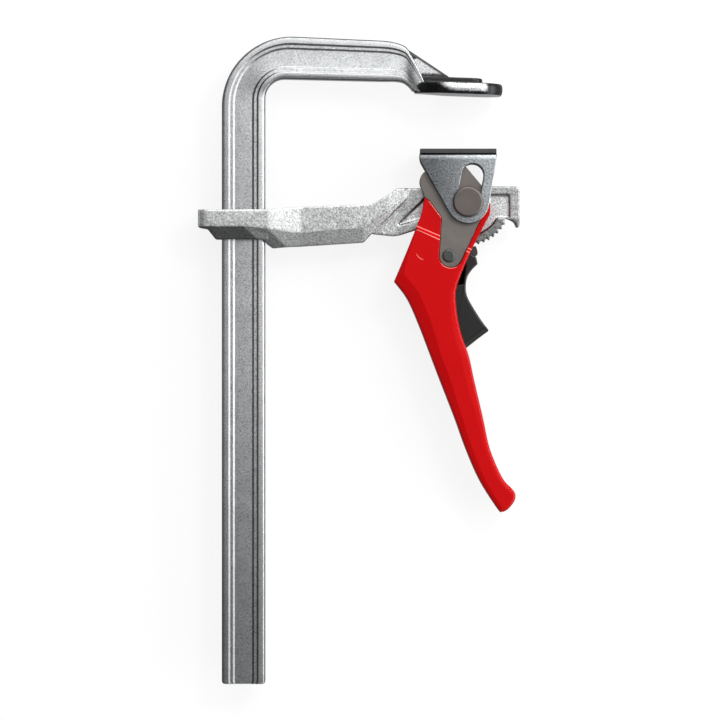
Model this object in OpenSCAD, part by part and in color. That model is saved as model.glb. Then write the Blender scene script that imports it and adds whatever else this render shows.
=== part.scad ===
// All-steel bar clamp with a ratcheting lever, lying on its side.
// X runs out along the jaws, Y up the bar and Z out of the front face.
// The origin is the middle of the fixed jaw's face. Lengths are millimetres.

/* [Bar] */
// Clear depth from the bar to the middle of the jaws
throat = 115.6; // [105:0.1:170]
// Length of the bar below the fixed jaw's face
bar_reach = 353; // [330:1:600]
// Width of the bar across its broad face
bar_w = 26; // [24:0.5:29]
// Thickness of the bar
bar_t = 13; // [11:0.5:15]
// Radius of the bar's rolled edges
bar_edge_r = 2; // [1:0.1:2.6]
// Width of the flange crown beside each groove, edge radius included
crown_w = 4; // [3:0.1:5]
// Width of the ledge halfway down each side of the groove
ledge_w = 1.6; // [1:0.1:2.4]
// Width of each sloping step of the groove
step_w = 1.1; // [0.8:0.1:1.6]
// Depth of the groove in each broad face
groove_depth = 1.8; // [1:0.1:2.4]
// Corner radius of the bar's free end
bar_end_r = 1.8; // [1:0.1:3]
// Inner radius of the bend
bend_r = 9; // [6:0.5:14]
// Height of the bend's outer side above the jaw's face
arm_top = 35.2; // [33:0.2:38]
// Downward slope of the fixed arm, in degrees
arm_slope = 2.6; // [0:0.2:4]

/* [Fixed jaw] */
// Length of the jaw's paddle
jaw_len = 53.5; // [48:0.5:60]
// Width of the paddle
jaw_w = 36; // [28:1:44]
// Thickness of the paddle at its edge
jaw_t = 7.2; // [6:0.2:9]
// Tilt of the jaw's face, which closes up under load, in degrees
jaw_tilt = 2; // [0:0.5:3]
// Radius of the paddle's outer corners
jaw_tip_r = 15; // [8:0.5:16]
// Height of the stiffening rib above the paddle
rib_h = 3.2; // [2:0.2:5]
// Width of the rib
rib_w = 13; // [8:0.5:18]
// Distance from the rib's rounded end to the paddle's tip
rib_setback = 12.4; // [9:0.2:20]
// Thickness of the gusset between arm and paddle
gusset_t = 7; // [5:0.5:10]

/* [Sliding arm] */
// Gap between the fixed jaw and the pressure pad
jaw_gap = 32.5; // [28:0.5:45]
// Clearance round the bar in the collar
slide_fit = 0.4; // [0.3:0.05:0.6]
// Depth of the collar, front to back
collar_depth = 26; // [24:0.5:30]
// Wall of the collar beyond the bar's outer edge
collar_wall = 14.2; // [10:0.2:18]
// Wall beside the bar at the collar's tapered foot
foot_wall = 2.4; // [2:0.1:3.5]
// Depth of the beam, front to back
beam_depth = 17; // [14:0.5:20]
// Depth of the beam's narrow lower edge
beam_foot = 9; // [7:0.5:11]
// Thickness of the plate that carries the lever
plate_t = 10; // [8:0.5:11]
// Thickness left in the plate's pockets
pocket_web = 5; // [3:0.5:6]
// Distance from the pivot to the plate's front edge
plate_front = 31.2; // [30.6:0.2:34]
// Distance from the pivot to the plate's upper edge
plate_top = 9.5; // [8.4:0.1:10]
// Width of the rim round the front pocket
rim_w = 6; // [4:0.2:8]

/* [Ratchet] */
// Radius over the tips of the ratchet teeth
tooth_tip_r = 26.3; // [25.6:0.1:26.4]
// Height of a tooth
tooth_h = 1.9; // [1:0.1:2.4]
// Angle between two teeth
tooth_pitch = 7.4; // [6:0.2:9]
// Number of teeth
tooth_count = 12; // [6:1:12]
// Angle of the first tooth, in degrees below the horizontal
tooth_first = 31.4; // [31:0.2:36]

/* [Pivot and pressure bracket] */
// Distance of the pivot from the middle of the jaws
pivot_x = 5.7; // [3:0.1:8]
// Diameter of the pivot pin
pin_d = 13; // [10:0.5:14]
// Diameter of the pin's flat head
pin_head_d = 18.2; // [16.4:0.2:22]
// Thickness of the pin's head
pin_head_t = 3.5; // [2:0.1:5]
// Diameter of the washer behind the bracket
washer_d = 20; // [18:0.5:24]
// Thickness of the washer
washer_t = 1.5; // [1:0.1:2.5]
// Sheet thickness of the pressure bracket
sheet_t = 3; // [2:0.1:4]
// Outer radius of the bracket's bends
sheet_bend_r = 3.4; // [2:0.1:4.5]
// Length of the bracket's web
web_len = 46.4; // [45.9:0.1:52]
// Radius of the bracket's lower end
bracket_r = 12.8; // [12.4:0.1:13]
// Lean of the bracket's slot, in degrees
slot_lean = 10.4; // [6:0.2:12]
// Length of the slot between its end centres
slot_travel = 16.5; // [13.2:0.1:16.8]
// Clearance of the slot across the pin
slot_fit = 0.5; // [0.3:0.1:0.8]
// Length of the pressure pad
pad_len = 45.7; // [40:0.1:45.8]
// Thickness of the pressure pad
pad_t = 2.9; // [2:0.1:5]

/* [Lever] */
// Cam height above the pivot with the lever closed
cam_high = 25.6; // [25:0.1:26.2]
// Cam height above the pivot with the lever open
cam_low = 12.7; // [12:0.1:13.2]
// Turn of the lever between the two heights, in degrees
cam_swing = 50; // [46:1:54]
// Thickness of each cam cheek
cheek_t = 4; // [3:0.1:5]
// Diameter of the cheeks' rivet
rivet_d = 5.2; // [4:0.1:6]
// Diameter of the rivet's heads
rivet_head_d = 7.8; // [7:0.1:9]
// Thickness of the rivet's heads
rivet_head_t = 1.5; // [1:0.1:2]
// Thickness of the grip
grip_t = 23; // [21:0.5:26]
// Length of the grip below the trigger
grip_len = 94; // [80:1:130]
// Width of the bevel along the grip's back edge
back_bevel = 4.4; // [2:0.2:5]
// Width of the bevel along the grip's front edge
front_bevel = 2.4; // [1:0.2:3]
// Width of the bevel round the grip's end
tip_bevel = 1.8; // [1:0.1:2.2]
// Depth of the bevels
bevel_depth = 4.5; // [2:0.1:5.5]

/* [Trigger] */
// Diameter of the pawl's hub
hub_d = 10.8; // [9.6:0.2:11.6]
// Wire of the trigger's return spring
spring_wire = 0.8; // [0.6:0.05:0.9]
// Mean radius of the spring's coil
spring_r = 4.2; // [3.8:0.1:4.6]
// Turns of the spring
spring_turns = 1.75; // [0.75:1:1.75]

/* [Clearances] */
// Clearance of a shaft in its bore, on the radius
bore_fit = 0.05; // [0.02:0.01:0.1]
// Clearance between parts that slide side by side
side_gap = 0.4; // [0.3:0.05:0.6]
// Clearance under the bracket's web and over the tooth tips
cam_gap = 0.3; // [0.2:0.05:0.5]
// Clearance round the cheeks in the lever's recesses
recess_fit = 0.15; // [0.1:0.05:0.3]
// Clearance of the bracket under the pin's head and over the washer
head_play = 0.3; // [0.2:0.05:0.4]
// Clearance between the trigger's own pieces
trigger_fit = 0.2; // [0.1:0.05:0.3]

/* [Hidden] */
$fn = 64;

// Bend centre and pivot
bend = [-throat + bend_r, arm_top - bar_w - bend_r];
web_low = cam_high + cam_gap;
pivot = [pivot_x, -jaw_gap - pad_t - sheet_t - web_low];

// Depths from the middle plane outward; the lever's head stands a step proud of its cheeks
head_step = 0.3;
cheek_in = plate_t / 2 + side_gap;
cheek_out = cheek_in + cheek_t;
head_out = cheek_out + head_step;
bracket_in = head_out + side_gap;
bracket_out = bracket_in + sheet_t;
head_in = bracket_out + head_play;

// The lever's rivet and the cheek's foot, from the pivot
rivet = [-11.3, -32.2];
foot = [-10.2, -32.3];
foot_r = 7;
pin_r = pin_d / 2;

// The trigger fills the lever's slot, and the pawl takes what the spring's coil leaves of it
coil_rise = spring_wire + 0.05;
coil_h = spring_wire + coil_rise * spring_turns;
trigger_t = 2 * (cheek_in - side_gap);
pawl_t = trigger_t - 2 * (coil_h + trigger_fit);
hub_r = hub_d / 2;

// Points and vectors
function unit(v) = v / norm(v);
function turn(p, a) = [p.x * cos(a) - p.y * sin(a), p.x * sin(a) + p.y * cos(a)];
function polar(r, a) = [r * cos(a), r * sin(a)];
function arc(c, r, a0, a1, n) = [for (i = [0:n]) c + polar(r, a0 + (a1 - a0) * i / n)];
function lift(points, z) = [for (p = points) [p.x, p.y, z]];

// Smooth curve through the points of p, with n steps a span
function blend(a, b, c, d, t) = 0.5 * (2 * b + (c - a) * t + (2 * a - 5 * b + 4 * c - d) * t * t
    + (3 * b - a - 3 * c + d) * t * t * t);
function smooth(p, n) = concat(
    [for (i = [0:len(p) - 2]) for (j = [0:n - 1])
        blend(p[max(i - 1, 0)], p[i], p[i + 1], p[min(i + 2, len(p) - 1)], j / n)],
    [p[len(p) - 1]]);

// A counterclockwise outline moved inward by d, which lists one distance a point
function inset(p, d) = [for (i = [0:len(p) - 1]) let (
    before = unit(p[i] - p[(i + len(p) - 1) % len(p)]),
    after = unit(p[(i + 1) % len(p)] - p[i]),
    along = unit(before + after),
    inward = [-along.y, along.x])
    p[i] + inward * d[i] / max(0.6, inward * [-before.y, before.x])];
function all_round(p, d) = [for (i = p) d];

// Closed skin through rings of equal length, each counterclockwise about the way on.
// A ring whose first half mirrors its second has caps of rungs between the two halves.
module skin(rings, mirrored = false) {
    n = len(rings[0]);
    last = (len(rings) - 1) * n;
    sides = [for (k = [0:len(rings) - 2]) for (i = [0:n - 1]) for (half = [0, 1]) let (
        a = k * n + i, b = k * n + (i + 1) % n)
        half == 0 ? [a, a + n, b] : [b, a + n, b + n]];
    whole = [[for (i = [0:n - 1]) i], [for (i = [n - 1:-1:0]) last + i]];
    rungs = [for (i = [0:n / 2 - 2]) let (a = n - 1 - i)
        each [[i, i + 1, a], [i + 1, a - 1, a],
            [last + i, last + a, last + i + 1], [last + i + 1, last + a, last + a - 1]]];
    polyhedron(points = [for (ring = rings) each ring],
        faces = concat(sides, mirrored ? rungs : whole));
}

// Round wire along a path that stays nearly level
module wire(path, r) {
    n = len(path) - 1;
    skin([for (i = [0:n]) let (
        way = path[min(i + 1, n)] - path[max(i - 1, 0)],
        along = unit([way.x, way.y]), side = [along.y, -along.x, 0])
        [for (k = [0:7]) path[i] + r * (cos(45 * k) * side + [0, 0, sin(45 * k)])]]);
}

// Straight slot, cut right through, between two centres
module slot_cut(a, b, r, h) {
    for (c = [a, b]) translate([c.x, c.y, 0]) cylinder(r = r, h = h, center = true);
    translate([a.x, a.y, 0]) rotate([0, 0, atan2(b.y - a.y, b.x - a.x)])
        translate([0, -r, -h / 2]) cube([norm(b - a), 2 * r, h]);
}

module at_pivot() { translate([pivot.x, pivot.y, 0]) children(); }

// Section of the bar: s runs from the inner edge to the outer one, z is half its depth.
// share fades the groove out, so that 0 gives a plain flat bar.
function half_section(share) = let (
    h = bar_t / 2, d = groove_depth / 2 * share,
    s = [crown_w, crown_w + step_w, crown_w + step_w + ledge_w, crown_w + 2 * step_w + ledge_w],
    z = [h, h - d, h - d, h - 2 * d])
    concat(arc([bar_edge_r, h - bar_edge_r], bar_edge_r, 180, 90, 4),
        [for (i = [0:3]) [s[i], z[i]]],
        [for (i = [3:-1:0]) [bar_w - s[i], z[i]]],
        arc([bar_w - bar_edge_r, h - bar_edge_r], bar_edge_r, 90, 0, 4));
function bar_section(share = 1) = let (top = half_section(share), n = len(top))
    concat([for (i = [n - 1:-1:0]) top[i]], [for (p = top) [p.x, -p.y]]);

// Ring of the bar's section stretched between a lower and an upper point
function bar_ring(low, high, share, deep) = [for (p = bar_section(share))
    let (q = low + (high - low) * p.x / bar_w) [q.x, q.y, p.y * deep]];

// Where the straight arm ends and the forged neck begins
neck_start = 46.5;
arm_len = (throat - bend_r - neck_start) / cos(arm_slope);
arm_low = bend + turn([arm_len, bend_r], -arm_slope);
arm_high = bend + turn([arm_len, bend_r + bar_w], -arm_slope);
rib_top = jaw_t + rib_h;
jaw_back = -jaw_len / 2;
jaw_tip = jaw_len / 2;

module straight_bar() {
    top = bend.y;
    low = -bar_reach;
    left = -throat - bar_w;
    intersection() {
        translate([-throat, top, 0]) rotate([90, 0, 0]) linear_extrude(top - low)
            mirror([1, 0]) polygon(bar_section());
        linear_extrude(bar_t + 2, center = true) polygon(concat(
            [[left - 1, top + 1]],
            arc([left + bar_end_r, low + bar_end_r], bar_end_r, 180, 270, 4),
            arc([-throat - bar_end_r, low + bar_end_r], bar_end_r, 270, 360, 4),
            [[-throat + 1, top + 1]]));
    }
}

module bend_and_arm() {
    translate([bend.x, bend.y, 0]) {
        rotate([0, 0, 90 - arm_slope]) rotate_extrude(angle = 90 + arm_slope)
            translate([bend_r, 0]) polygon(bar_section());
        rotate([0, 0, -arm_slope]) rotate([90, 0, 90]) linear_extrude(arm_len)
            translate([bend_r, 0]) polygon(bar_section());
    }
}

// The bar's end turned down and flattened into the paddle
module neck() {
    skin([
        bar_ring(arm_low - [0.5, 0], arm_high - [0.5, 0], 1, 1),
        bar_ring([-42, arm_low.y + 0.3], [-40.2, arm_high.y - 0.6], 1, 1),
        bar_ring([-37.2, arm_low.y], [-34.8, arm_high.y - 2], 1, 1),
        bar_ring([-33, arm_low.y - 0.5], [-31, arm_high.y - 4], 0.9, 1),
        bar_ring([-29.4, jaw_t - 2.6], [-28.7, arm_high.y - 7.6], 0.55, 1),
        bar_ring([-27.2, 2.2], [-24.9, 18.4], 0.15, 1.04),
        bar_ring([-23, 1.4], [-20.2, jaw_t + 0.6], 0.08, 1.1)], mirrored = true);
}

// Upright web from the neck's crown down to the rib
module gusset() {
    linear_extrude(gusset_t, center = true) polygon([
        [-29.5, jaw_t - 3], [-5.2, jaw_t - 3], [-5.2, rib_top], [-27.6, arm_high.y - 7.6]]);
}

module paddle() {
    side = jaw_w / 2;
    right = concat(
        [[jaw_back, 6.5], [jaw_back + 4, 7.5], [jaw_back + 9, 10.5], [jaw_back + 14, side - 3],
            [jaw_back + 19, side - 0.8], [jaw_back + 25, side]],
        arc([jaw_tip - jaw_tip_r, side - jaw_tip_r], jaw_tip_r, 90, 10, 10));
    left = [for (i = [len(right) - 1:-1:0]) [right[i].x, -right[i].y]];
    rotate([0, 0, -jaw_tilt]) rotate([-90, 0, 0]) linear_extrude(jaw_t)
        polygon(concat(right, left));
}

module rib() {
    end = jaw_tip - rib_setback - rib_w / 2;
    rotate([0, 0, -jaw_tilt]) rotate([-90, 0, 0]) {
        translate([jaw_back + 3, -rib_w / 2, jaw_t - 3]) cube([end - jaw_back - 3, rib_w, rib_h + 3]);
        translate([end, 0, jaw_t - 3]) cylinder(d = rib_w, h = rib_h + 3);
    }
}

// Bent bar with a groove in both faces and the fixed jaw forged on its end
module bar() {
    color("silver") {
        straight_bar();
        bend_and_arm();
        neck();
        gusset();
        paddle();
        rib();
    }
}

// One ring of the sliding arm, across X: three corners, given as way out along the arm,
// height from the pivot and half depth, with their mirror images behind
function corners(top, fold, low) = let (front = [top, fold, low])
    concat(front, [for (i = [2:-1:0]) [front[i].x, front[i].y, -front[i].z]]);
function station(x, top, fold, low, deep, deep_low) =
    corners([x, top, deep], [x, fold, deep], [x, low, deep_low]);

collar_left = -throat - bar_w - collar_wall - pivot.x;
collar_right = -throat - pivot.x;
collar_half = collar_depth / 2;
foot_half = bar_t / 2 + slide_fit + foot_wall;
taper_end = collar_left + collar_wall - 3.7;

// Collar round the bar, rounded at its outer end and tapered to a narrow foot
module collar() {
    skin([
        station(collar_left, -4.6, -14.4, -15, collar_half - 4.5, collar_half - 5),
        station(collar_left + 1.2, -4.6, -14.6, -15.4, collar_half - 2, collar_half - 2.5),
        station(collar_left + 3.2, -4.6, -14.8, -15.7, collar_half - 0.5, collar_half - 1),
        station(collar_left + 5.6, -4.6, -14.8, -16.1, collar_half, collar_half - 1),
        station(taper_end, -4.6, -14.8, -22.3, collar_half, foot_half),
        station(collar_right + 1.5, -4.6, -14.8, -22.5, collar_half, foot_half)],
        mirrored = true);
}

// Eight-sided beam from the collar, narrowing out to the plate and stepping up to it
module beam() {
    b = beam_depth / 2;
    foot_b = beam_foot / 2;
    skin([
        corners([collar_right - 13.2, -4.6, collar_half], [collar_right - 13.2, -14.8, collar_half],
            [collar_right + 4.4, -27.7, foot_b]),
        corners([collar_right + 2, -4.5, collar_half], [collar_right + 2, -16.4, collar_half],
            [collar_right + 12.9, -26.9, foot_b + 1.2]),
        station(collar_right + 21.4, -3, -18.9, -26.6, b, foot_b),
        station(-62.4, -1.6, -15.6, -24.2, b, foot_b),
        station(-57.3, -1.5, -12.4, -18.6, b, foot_b + 1),
        station(-47.3, 4.4, -5.2, -9.1, b, foot_b + 2),
        station(-42.3, 8.1, -1.8, -4.1, b - 0.6, foot_b + 2),
        station(-38.1, 8.3, 1, 0, b - 1.8, foot_b + 1.6),
        station(-34.6, 8.35, 4.4, 4, plate_t / 2 - 0.4, plate_t / 2 - 0.5)],
        mirrored = true);
}

// Outline of the plate's body and its hooked front frame, from the pivot
tooth_root_r = tooth_tip_r - tooth_h;
module plate_outline() {
    polygon([[-56.7, -19.2], [-44.7, -20.4], [-40.5, -19.8], [-31.5, -16.9], [-20, -13], [0, -9],
        [0, plate_top], [-34.8, 8.2], [-44, 2]]);
    polygon(concat([[0, 0]], arc([0, 0], tooth_root_r, -150, -23.3, 26)));
    polygon(concat(
        [[0, -8], [0, plate_top]],
        arc([plate_front - 3, plate_top - 3], 3, 90, 0, 5),
        [[plate_front, -13.6], [plate_front - 0.9, -15.4], [plate_front - 2.4, -15.1],
            [plate_front - 2.7, -13.6], [plate_front - 3.9, -11.8], [plate_front - 6.3, -10.6],
            polar(tooth_root_r, -23.3)]));
}

// One tooth: a radial face that holds the pawl, and a slope that it rides over
module tooth() {
    polygon([polar(tooth_root_r - 1, -0.4), polar(tooth_root_r - 1, 4.6),
        polar(tooth_root_r, 4.6), polar(tooth_tip_r, 0.7), polar(tooth_tip_r, -0.2),
        polar(tooth_root_r, -0.6)]);
}

// Pockets forged into both faces of the plate
module front_pocket() {
    inner_r = tooth_root_r - 4.2;
    difference() {
        union() {
            translate([0, -9.4]) square([plate_front - rim_w, 9.4 + plate_top - rim_w + 0.9]);
            polygon(concat([[0, 0]], arc([0, 0], inner_r, -105, -5, 20)));
        }
        circle(r = pin_r + 6);
    }
}
module back_pocket() {
    polygon([[-41.4, -12.8], [-27.9, 0.5], [-24, 4.2], [-15.4, 4.6], [-14.9, -3], [-19, -8],
        [-27.9, -10.2], [-41, -14.1]]);
}

module sliding_arm() {
    deep = (plate_t - pocket_web) / 2;
    color("silver") at_pivot() difference() {
        union() {
            collar();
            beam();
            linear_extrude(plate_t, center = true) {
                plate_outline();
                for (i = [0:tooth_count - 1]) rotate(-tooth_first - i * tooth_pitch) tooth();
            }
        }
        translate([-throat - bar_w - slide_fit - pivot.x, -40, -bar_t / 2 - slide_fit])
            cube([bar_w + 2 * slide_fit, 60, bar_t + 2 * slide_fit]);
        for (side = [-1, 1]) translate([0, 0, side * (plate_t / 2 + 1 - deep / 2)])
            linear_extrude(deep + 2, center = true) {
                front_pocket();
                back_pocket();
            }
        cylinder(r = pin_r + bore_fit, h = plate_t + 2, center = true);
    }
}

// Flat-headed pin, closed by a riveted end over the washer
module pivot_pin() {
    tail = head_in + washer_t;
    color("dimgray") at_pivot() {
        translate([0, 0, -tail - 0.5]) cylinder(r = pin_r, h = tail + 0.5 + head_in + 0.5);
        translate([0, 0, head_in]) cylinder(d = pin_head_d, h = pin_head_t - 0.8);
        translate([0, 0, head_in + pin_head_t - 0.8])
            cylinder(d1 = pin_head_d, d2 = pin_head_d - 1.6, h = 0.8);
        translate([0, 0, -tail - 2.4]) cylinder(d1 = pin_d + 0.6, d2 = pin_d + 3.4, h = 2.4);
    }
}

module pivot_washer() {
    color("silver") at_pivot() translate([0, 0, -head_in - washer_t]) difference() {
        cylinder(d = washer_d, h = washer_t);
        translate([0, 0, -1]) cylinder(r = pin_r + bore_fit, h = washer_t + 2);
    }
}

// The cam drops in step with the turn, so the flat web stays on it all the way
cam_rate = (cam_high - cam_low) / (cam_swing * PI / 180);
function cam_point(a) = let (h = cam_high - cam_rate * a * PI / 180)
    [h * sin(a) - cam_rate * cos(a), h * cos(a) + cam_rate * sin(a)];
lobe = [-21.6, 12.2];
lobe_r = 7.2;
cheek_side = -24.4;
cheek_outline = concat(
    arc(foot, foot_r, 180, 360 + cheek_side, 8),
    arc([0, 0], cam_low, 3.7, 90 - cam_swing, 5),
    [for (i = [10:-1:0]) cam_point(cam_swing * i / 10)],
    arc(lobe, lobe_r, 110, 215, 8),
    [[-25.9, 2.8], [-22.9, 0.6], [-15.6, -9.2]]);

module cam_cheek(low) {
    color([0.45, 0.44, 0.42]) at_pivot() translate([0, 0, low]) difference() {
        linear_extrude(cheek_t) polygon(cheek_outline);
        translate([0, 0, -1]) cylinder(r = pin_r + bore_fit, h = cheek_t + 2);
        translate([rivet.x, rivet.y, -1]) cylinder(d = rivet_d + 2 * bore_fit, h = cheek_t + 2);
    }
}
module cam_cheek_front() { cam_cheek(cheek_in); }
module cam_cheek_back() { cam_cheek(-cheek_out); }

// Grip below the trigger: way down it, middle and width at each station
grip_top = 92;
grip_stations = [[0.155, -6.5, 20.7], [0.395, 0.5, 17.2], [0.595, 6, 14.6], [0.794, 14.3, 14.8]];
function grip_back(s) = [s[1] - s[2] / 2, -grip_top - s[0] * grip_len];
function grip_front(s) = [s[1] + s[2] / 2, -grip_top - s[0] * grip_len];
grip_end = [23.6, -grip_top - grip_len + 9.5];

heel = [-44.2, -47.6];
back_upper = smooth([[-25.9, 2.8], [-27.6, -6.4], [-31.3, -16.5], [-37.9, -32.8], heel], 3);
back_lower = smooth(concat([heel, [-36.2, -58.4], [-29.3, -74], [-22.4, -92]],
    [for (s = grip_stations) grip_back(s)], [grip_end + [-5.8, -7.3]]), 4);
tip_edge = smooth([grip_end + [-5.8, -7.3], grip_end + [-3.4, -9], grip_end + [0, -7.6],
    grip_end + [3.9, -3.2], grip_end + [5, 0.6], grip_end + [3.6, 4.2]], 3);
front_edge = smooth(concat([grip_end + [3.6, 4.2]],
    [for (i = [len(grip_stations) - 1:-1:0]) grip_front(grip_stations[i])],
    [[0.6, -92], [-4.3, -77.7], [-7, -62], [-6.4, -50], [1.8, -29.8], [8, -17.4],
        [13.5, -6.7]]), 4);
function but_last(p) = [for (i = [0:len(p) - 2]) p[i]];
lever_outline = concat(but_last(back_upper), but_last(back_lower), but_last(tip_edge), front_edge,
    [[13.4, -1], [10.8, 1], [-10, 1]]);

// Bevel width at each point of the lever's outline, narrow round the sharp heel
heel_bevel = 2.6;
bevel_widths = concat(
    [for (i = [0:len(back_upper) - 2]) 1.6 + max(0, i - 8) * (heel_bevel - 1.6) / 4],
    [for (i = [0:len(back_lower) - 2]) min(heel_bevel + 0.9 * i,
        back_bevel - (back_bevel - tip_bevel) * i / (len(back_lower) - 2))],
    [for (i = [0:len(tip_edge) - 2]) tip_bevel],
    [for (i = [0:len(front_edge) - 1]) front_bevel - (front_bevel - 1) * i / (len(front_edge) - 1)],
    [0.8, 0.8, 0.8]);

// Both bevels run on past the flat faces, which are then cut
module lever_body() {
    h = grip_t / 2;
    past = 1;
    inner = inset(lever_outline, bevel_widths * (1 + past / bevel_depth));
    difference() {
        skin([lift(inner, -h - past), lift(lever_outline, -h + bevel_depth),
            lift(lever_outline, h - bevel_depth), lift(inner, h + past)]);
        for (side = [-1, 1]) translate([0, -grip_top, side * (h + 5)])
            cube([200, 2 * grip_top + 2 * grip_len, 10], center = true);
    }
}

// Thinner head that passes inside the bracket, with a sloping step up to the grip
step_at = 25.5;
step_turn = 246.8;
module head_relief(side) {
    over = grip_t / 2 + 5;
    rotate([0, 0, step_turn]) rotate([90, 0, 0]) linear_extrude(120, center = true)
        polygon([[-60, side * head_out], [step_at, side * head_out],
            [step_at + over - head_out, side * over], [-60, side * over]]);
}

// Room for the plate and its teeth, then for the trigger and its travel
trigger_reach = 57.2;
module lever_slots() {
    circle(r = tooth_tip_r + 0.8);
    polygon([[-60, -26.6], [-31.5, -17.6], [-22, -14.6], [0, -14.6], [0, 20], [-60, 20]]);
    translate(rivet) {
        circle(r = 8);
        polygon(concat([[50, 20], [-7.8, 5], [-7.8, 0]],
            arc([0, 0], trigger_reach, -99.5, -55, 12)));
    }
}

// Blank of the grip, with its head thinned on both sides and its slots cut
module slotted_body() {
    difference() {
        lever_body();
        linear_extrude(2 * cheek_in, center = true) lever_slots();
        for (side = [-1, 1]) head_relief(side);
    }
}

// One moulding, forked at the head and slotted for the trigger, with a recess for each cheek
module lever_grip() {
    color("red") at_pivot() difference() {
        slotted_body();
        for (side = [-1, 1]) translate([0, 0, side * (cheek_in + 9.9)])
            linear_extrude(20, center = true)
                polygon(inset(cheek_outline, all_round(cheek_outline, -recess_fit)));
    }
}

module cheek_rivet() {
    color("dimgray") at_pivot() translate([rivet.x, rivet.y, 0]) {
        cylinder(d = rivet_d, h = 2 * cheek_out + 1, center = true);
        for (side = [0, 1]) mirror([0, 0, side]) translate([0, 0, cheek_out]) {
            cylinder(d = rivet_head_d, h = rivet_head_t - 0.6);
            translate([0, 0, rivet_head_t - 0.6])
                cylinder(d1 = rivet_head_d, d2 = rivet_head_d - 1.4, h = 0.6);
        }
    }
}

// Pawl: a hub on the rivet, a nose at the teeth and a tail inside the trigger
nose_r = tooth_tip_r + cam_gap + 0.15;
pawl_outline = [[-11.3, -38], [-9, -50], [-3, -50], [-1, -38], [4.6, -32.6], [6, -31.4], [6, -29.4],
    polar(nose_r, -79.2), polar(nose_r, -84.5), [-3, -28.4], [-12, -27]];

module pawl() {
    color([0.25, 0.25, 0.25]) at_pivot() difference() {
        union() {
            linear_extrude(pawl_t, center = true) polygon(pawl_outline);
            translate([rivet.x, rivet.y, -pawl_t / 2]) cylinder(r = hub_r, h = pawl_t);
        }
        translate([rivet.x, rivet.y, 0])
            cylinder(d = rivet_d + 2 * bore_fit, h = pawl_t + 2, center = true);
    }
}

trigger_outline = concat(
    smooth([[-17.2, -35], [-14.2, -56], [-9.8, -86.2]], 3),
    smooth([[-1.2, -87.8], [5.6, -82.4], [12.9, -77]], 2),
    smooth([[12.9, -77], [8.6, -71.4], [3.2, -63], [-0.4, -56.1], [-1.1, -50.1], [0, -44.4],
        [3.2, -39.8]], 3),
    [[6.1, -37.2], [5.2, -33.1], [2, -30.6], [-6, -28.6]],
    arc(rivet, 6.2, 60, 200, 8));

module trigger() {
    color([0.2, 0.2, 0.2]) at_pivot() difference() {
        linear_extrude(trigger_t, center = true) polygon(trigger_outline);
        linear_extrude(pawl_t, center = true)
            polygon(inset(pawl_outline, all_round(pawl_outline, -trigger_fit)));
        translate([rivet.x, rivet.y, 0]) {
            cylinder(d = rivet_d + 2 * bore_fit, h = trigger_t + 2, center = true);
            cylinder(r = hub_r + trigger_fit, h = pawl_t, center = true);
            translate([0, 0, pawl_t / 2]) {
                cylinder(r = spring_r + spring_wire / 2 + 2, h = trigger_t);
                linear_extrude(trigger_t) polygon([[-1, 0], [-1, -17], [8.6, -17], [10, -5], [6, 0]]);
            }
        }
    }
}

// Torsion spring: one leg against the lever's slot, the other along the trigger
module trigger_spring() {
    low = pawl_t / 2 + trigger_fit + spring_wire / 2;
    steps = 16 * spring_turns;
    coil = [for (i = [0:steps]) let (a = -360 * i / 16)
        [spring_r * cos(a), spring_r * sin(a), low + coil_rise * i / 16]];
    color("silver") at_pivot() translate([rivet.x, rivet.y, 0]) wire(concat(
        [[spring_r, -14, low], [spring_r, -2, low]], coil, [[-6.4, spring_r, low + coil_rise * spring_turns]]),
        spring_wire / 2);
}

// Bent sheet with its web over the cam and a leaning slot for the pin in each side
web_high = web_low + sheet_t;
module bracket_channel() {
    w = bracket_out;
    r = sheet_bend_r;
    outer = concat([[-20, -w]], arc([web_high - r, -w + r], r, -90, 0, 6),
        arc([web_high - r, w - r], r, 0, 90, 6), [[-20, w]]);
    inner = [[-20, bracket_in], [web_low, bracket_in], [web_low, -bracket_in], [-20, -bracket_in]];
    translate([-60, 0, 0]) rotate([90, 0, 90]) linear_extrude(120) polygon(concat(outer, inner));
}

module bracket_side() {
    right = web_len / 2 - pivot.x;
    left = -web_len / 2 - pivot.x;
    polygon(concat(
        [[right, web_high + 1], [left, web_high + 1], [left, web_high - 2.4],
            [left + 0.7, web_high - 5.2]],
        arc([0, 0], bracket_r, 209.7, 351, 16),
        [[right - 0.3, web_high - 3]]));
}

module pressure_bracket() {
    color([0.55, 0.57, 0.58]) at_pivot() difference() {
        intersection() {
            bracket_channel();
            linear_extrude(60, center = true) bracket_side();
        }
        slot_cut([0, 0], slot_travel * [sin(slot_lean), cos(slot_lean)],
            (pin_d + slot_fit) / 2, 60);
    }
}

module pressure_pad() {
    color([0.3, 0.31, 0.32]) translate([-pad_len / 2, -jaw_gap - pad_t, -bracket_out])
        cube([pad_len, pad_t, 2 * bracket_out]);
}

bar();
sliding_arm();
pivot_pin();
pivot_washer();
cam_cheek_front();
cam_cheek_back();
lever_grip();
cheek_rivet();
trigger();
pawl();
trigger_spring();
pressure_bracket();
pressure_pad();
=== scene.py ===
import math

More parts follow.
